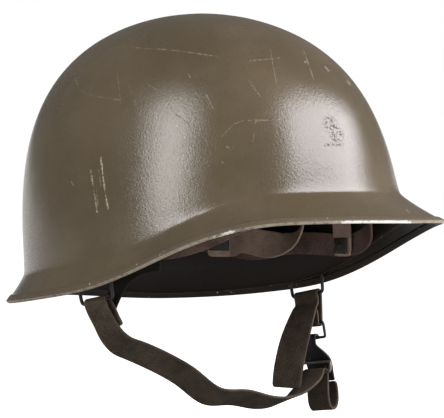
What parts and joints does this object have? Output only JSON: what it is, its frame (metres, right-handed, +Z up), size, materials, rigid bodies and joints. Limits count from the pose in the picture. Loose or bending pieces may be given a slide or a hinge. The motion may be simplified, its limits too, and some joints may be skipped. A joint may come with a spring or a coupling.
{
  "type": "steel combat helmet",
  "caption": "Olive-painted steel combat helmet with a flared brim, a dark fibre liner, webbing suspension and a chin strap joined by a release hook and slider.",
  "frame": {"origin": "Where the crown of the wearer's head rests under the crossed crown straps, on the helmet's middle plane.", "axes": "+Z up, the wearer looks along -Y, and the wearer's left is +X."},
  "size_m": [0.241, 0.2874, 0.2564],
  "materials": {
    "shell_paint": "satin olive paint, worn",
    "rim_edge": "olive paint worn to bright steel",
    "liner_black": "matte, near black",
    "strap_webbing": "woven cotton webbing, dark olive brown",
    "band_webbing": "woven cotton webbing, faded tan",
    "black_metal": "blackened steel, satin",
    "worn_metal": "worn plated steel"
  },
  "bodies": {
    "root": {"steel_shell": "shell_paint", "rim_band": "rim_edge", "liner": "liner_black", "bail_bracket_right": "black_metal", "bail_bracket_left": "black_metal", "bail_right": "black_metal", "bail_left": "black_metal", "chin_strap": "strap_webbing", "short_strap": "strap_webbing", "wire_link": "black_metal", "release_hook": "black_metal", "slider": "worn_metal", "tie_strap": "strap_webbing", "suspension_band": "band_webbing", "crown_strap_1": "band_webbing", "crown_strap_2": "band_webbing", "crown_strap_3": "band_webbing", "washer_1": "worn_metal", "washer_2": "worn_metal", "washer_3": "worn_metal", "washer_4": "worn_metal", "washer_5": "worn_metal", "washer_6": "worn_metal"}
  },
  "joints": []
}
